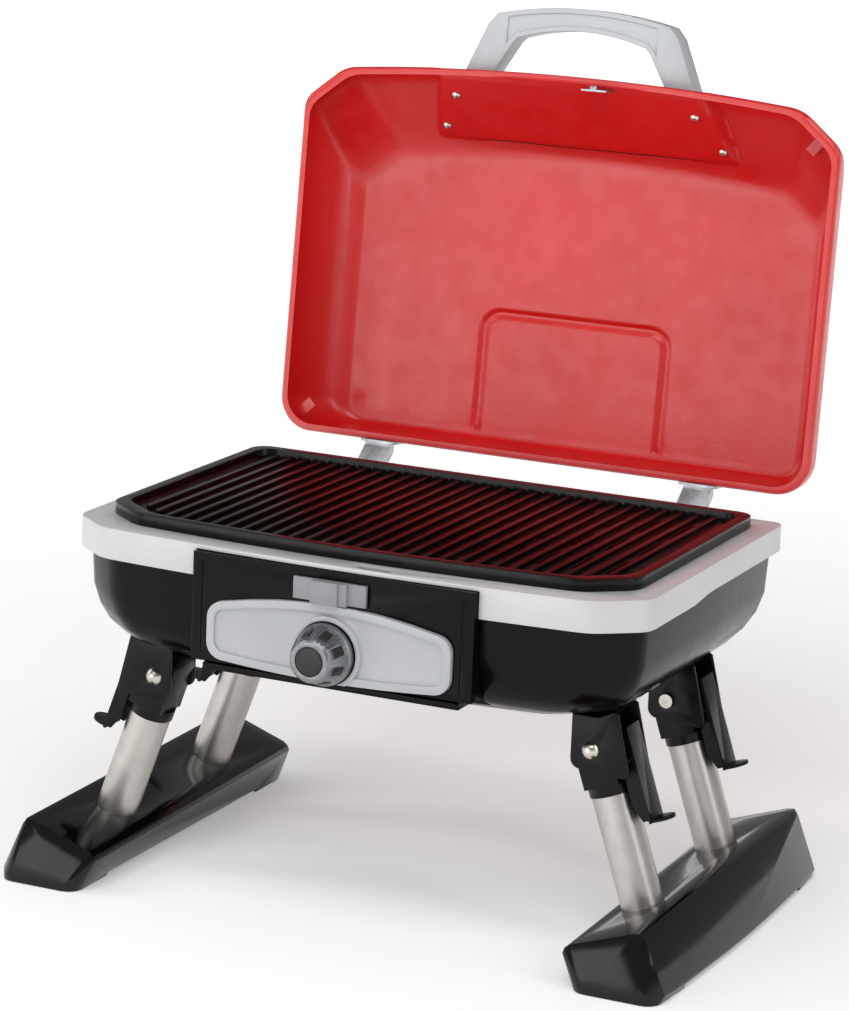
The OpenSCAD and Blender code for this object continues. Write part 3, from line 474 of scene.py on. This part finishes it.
# %% One level's outline, as four sides


def eased(p, a, b, reach=9.0, count=5):
    """A short curve that rounds the corner p between a and b."""
    p, a, b = Vector(p), Vector(a), Vector(b)
    u, v = (a - p).normalized(), (b - p).normalized()
    steps = [i / count for i in range(count + 1)]
    return [tuple(p + reach * ((1 - t) ** 2 * u + t * t * v)) for t in steps]


def arc(cx, cy, r, start, stop, steps=8):
    """Points on a circle from one angle to another, in degrees."""
    angles = [math.radians(start + (stop - start) * i / steps) for i in range(steps + 1)]
    return [(cx + r * math.cos(a), cy + r * math.sin(a)) for a in angles]


def level_sides(level, count):
    """The outline at one level: front, right, rear and left side, each with count + 1 points."""
    _, side, front_in, rear_in = level
    w, f, b = HALF_WIDTH - side, FRONT + front_in, REAR - rear_in
    r = max(REAR_RADIUS[0] - (side + rear_in) / 3, REAR_RADIUS[1])
    x, y = w - CORNER[0], f + CORNER[1]
    middle = (w - CORNER[0] / 2, f + CORNER[1] / 2)
    bow = [(x * t, f - BOW * (1 - t * t)) for t in (i / 12 - 1 for i in range(1, 24))]
    right_corner = eased((x, f), bow[-1], (w, y))
    left_corner = [(-px, py) for px, py in reversed(right_corner)]
    front = [(-middle[0], middle[1])] + left_corner + bow + right_corner + [middle]
    right_side = [middle] + eased((w, y), (x, f), (w, b)) + arc(w - r, b - r, r, 0, 45)
    left_side = [(-px, py) for px, py in right_side]
    rear = arc(r - w, b - r, r, 135, 90) + arc(w - r, b - r, r, 90, 45)
    return [spaced(line, count) for line in (front, right_side, rear, left_side)]


sides_by_ring = [level_sides(level, BLANK - 2 * k) for k, level in enumerate(levels)]
widest = max(x for sides in sides_by_ring for x, _ in sides[1])
print("the lid is", round(2 * widest, 1), "mm wide")

# %% Bead and handle seat
# The bead's outline: half its width, its front edge, the rounding of its corners, and half the length
# of the whole rounded frame, whose rear half runs off the flat top.
BEAD_HALF_WIDTH, BEAD_FRONT, BEAD_ROUNDING, BEAD_HALF_LENGTH = 75.0, -131.5, 14.0, 90.0
# Its height, and how far from its middle line the crest ends and the foot begins.
BEAD_HEIGHT, BEAD_CREST, BEAD_FOOT = 1.9, 1.4, 4.4
# The handle seat is a flat at 45 degrees. This is the Y and Z of its middle line before it is sunk.
SEAT_Y, SEAT_Z, SEAT_DEPTH = -287, 53, 6.0
# Its lower and upper edge along the slope, half its width at each of them, and its soft border.
SEAT_BOTTOM, SEAT_TOP, SEAT_NARROW, SEAT_WIDE, SEAT_BORDER = -60, 32, 106, 125, 7
# The push fades out over these heights, so that the rim stays level.
RIM_KEPT, RIM_FREE = 0.4, 6


def smoothstep(low, high, value):
    """0 below low, 1 above high, and a smooth way between them."""
    t = min(max((value - low) / (high - low), 0), 1)
    return t * t * (3 - 2 * t)


def bead_depth(x, y):
    """Height of the U-shaped bead: a rounded frame whose rear end runs off the flat top."""
    dx = abs(x) - (BEAD_HALF_WIDTH - BEAD_ROUNDING)
    dy = abs(y - (BEAD_FRONT + BEAD_HALF_LENGTH)) - (BEAD_HALF_LENGTH - BEAD_ROUNDING)
    distance = math.hypot(max(dx, 0), max(dy, 0)) + min(max(dx, dy), 0) - BEAD_ROUNDING
    return BEAD_HEIGHT * (1 - smoothstep(BEAD_CREST, BEAD_FOOT, abs(distance)))


def seated(x, y, z):
    """Pushes the front slope in to the flat that the handle's base lies on."""
    run, rise = (y - SEAT_Y) / math.sqrt(2), (z - SEAT_Z) / math.sqrt(2)
    up_slope, out = run + rise, rise - run
    share = (up_slope - SEAT_BOTTOM) / (SEAT_TOP - SEAT_BOTTOM)
    half = SEAT_NARROW + share * (SEAT_WIDE - SEAT_NARROW)
    inside = smoothstep(0, SEAT_BORDER, half - abs(x)) * smoothstep(0, SEAT_BORDER, SEAT_TOP - up_slope)
    push = (min(out, -SEAT_DEPTH) - out) * inside * smoothstep(RIM_KEPT, RIM_FREE, z - RIM)
    return y - push / math.sqrt(2), z + push / math.sqrt(2)


print("bead stands", round(bead_depth(BEAD_HALF_WIDTH, -60), 2), "mm proud")

# %% Press the blank
SHEET_THICKNESS = 1.2
# How strongly the lines of the flat top gather towards the bead, across and along.
GATHER_X, GATHER_Y = 0.45, 0.3
# The higher this power, the nearer to its edge the flat top starts to follow the walls' outline.
EDGE_PULL = 5

deselect_all()
bpy.ops.mesh.primitive_grid_add(x_subdivisions=BLANK, y_subdivisions=BLANK, size=2)
lid = bpy.context.object
lid.name = "pressed_lid"
FLAT = BLANK // 2 - RINGS
top_level = levels[-1]
top_half = (HALF_WIDTH - top_level[1], (REAR - top_level[3] - FRONT - top_level[2]) / 2)
top_mid_y = FRONT + top_level[2] + top_half[1]


def on_ring(k, i, j):
    """Place of a blank point on ring k; i and j count from the middle of the blank."""
    reach = BLANK // 2 - k
    front, right_side, rear, left_side = sides_by_ring[k]
    if j == -reach:
        return front[i + reach]
    if i == reach:
        return right_side[j + reach]
    if j == reach:
        return rear[i + reach]
    return left_side[j + reach]


def in_flat(i, j):
    """Place on the flat top; the lines draw together where the bead needs them."""
    def warped(a, b):
        return (top_half[0] * (a + GATHER_X * math.sin(2 * math.pi * a) / (2 * math.pi)),
                top_mid_y + top_half[1] * (b - GATHER_Y * math.sin(math.pi * b) / math.pi))
    a, b = i / FLAT, j / FLAT
    m = max(abs(a), abs(b))
    x, y = warped(a, b)
    if m == 0:
        return x, y
    edge = max(abs(i), abs(j))
    share_i, share_j = round(i / edge * FLAT), round(j / edge * FLAT)
    bx, by = on_ring(RINGS, share_i, share_j)
    wx, wy = warped(share_i / FLAT, share_j / FLAT)
    pull = m ** EDGE_PULL
    return x + pull * (bx - wx), y + pull * (by - wy)


hinge = next(j for j in frame["record"]["behaviour"]["joints"] if j["name"] == "lid_hinge")
lid_open = math.radians(hinge["range_deg"][0])
swing = Matrix.Translation(hinge["pos_m"]) @ Matrix.Rotation(lid_open, 4, "X")
for vertex in lid.data.vertices:
    i, j = (round(c * BLANK / 2) for c in vertex.co[:2])
    k = BLANK // 2 - max(abs(i), abs(j))
    if k < RINGS:
        x, y = on_ring(k, i, j)
        z = RIM + levels[k][0]
    else:
        x, y = in_flat(i, j)
        z = RIM + levels[-1][0] + bead_depth(x, y)
    y, z = seated(x, y, z)
    vertex.co = swing @ (Vector((x, y, z)) * MM)
sheet = lid.modifiers.new("sheet", "SOLIDIFY")
sheet.thickness = SHEET_THICKNESS * MM
sheet.offset = -1
make_active(lid)
bpy.ops.object.modifier_apply(modifier=sheet.name)
settle(lid, "lid_shell", 40)
print("pressed lid:", len(lid.data.polygons), "faces")

# %% [markdown]
# ## Floor and light
#
# The grill stands on a pale floor in a white studio. The world is white where we look straight at it
# and dimmer as a lamp, so that the black enamel has something dark to reflect and stays deep. The form
# comes from soft lamps: a low wide one at the front left, which lays a pale sheen over the open lid,
# one high in front, and one at each side for long highlights on the tubes.

# %% Floor and light
FLOOR_SIZE = 60
# The floor lies a hair under the feet, so that the two faces don't meet.
FLOOR_DROP = 0.4 * MM
# The backdrop glow starts and is full at these distances, with these strengths.
GLOW_START, GLOW_FULL = 0.4, 3.0
GLOW_NEAR, GLOW_FAR = 0.3, 0.95

deselect_all()
bpy.ops.mesh.primitive_plane_add(size=FLOOR_SIZE, location=(0, 0, -FLOOR_DROP))
floor = bpy.context.object
floor.name = "pale_floor"
floor_finish, tree, shader, place = new_finish("pale_floor_paint", **{"Roughness": 0.7})
shader.inputs["Base Color"].default_value = linear("#fbfbfa")
# The floor glows a little more with distance, as a lit backdrop does, so it runs out to plain white.
away = add_node(tree, "ShaderNodeVectorMath", {0: place}, operation="LENGTH").outputs["Value"]
backdrop = add_node(tree, "ShaderNodeMapRange", {
    "Value": away, "From Min": GLOW_START, "From Max": GLOW_FULL, "To Min": GLOW_NEAR, "To Max": GLOW_FAR})
shader.inputs["Emission Color"].default_value = (1, 1, 1, 1)
tree.links.new(backdrop.outputs["Result"], shader.inputs["Emission Strength"])
floor.data.materials.append(floor_finish)

WORLD_GLOW = 0.3
world = bpy.data.worlds.new("studio")
world.use_nodes = True
sky = world.node_tree
seen = add_node(sky, "ShaderNodeLightPath").outputs["Is Camera Ray"]
glow = add_node(sky, "ShaderNodeMapRange", {"Value": seen, "To Min": WORLD_GLOW, "To Max": 1.0})
sky.nodes["Background"].inputs["Color"].default_value = (1, 1, 1, 1)
sky.links.new(glow.outputs["Result"], sky.nodes["Background"].inputs["Strength"])
bpy.context.scene.world = world
bpy.context.scene.view_settings.view_transform = "Standard"


def softbox(name, place_m, aim_m, width_m, height_m, power_w):
    """A rectangular studio lamp at a place, turned to face a point."""
    lamp_data = bpy.data.lights.new(name, "AREA")
    lamp_data.shape = "RECTANGLE"
    lamp_data.size = width_m
    lamp_data.size_y = height_m
    lamp_data.energy = power_w
    lamp = bpy.data.objects.new(name, lamp_data)
    bpy.context.scene.collection.objects.link(lamp)
    lamp.location = place_m
    lamp.rotation_euler = (Vector(aim_m) - Vector(place_m)).to_track_quat("-Z", "Y").to_euler()
    return lamp


softbox("high_softbox", (0.3, -1.6, 2.4), (0, 0, 0.25), 2.0, 1.6, 30)
softbox("front_left_softbox", (-1.3, -2.7, 0.62), (0, 0, 0.35), 2.4, 1.2, 19)
softbox("left_softbox", (-1.8, -0.6, 1.1), (0, 0, 0.2), 0.5, 1.6, 7)
softbox("right_softbox", (1.9, -0.6, 1.1), (0, 0, 0.2), 0.5, 1.6, 7)
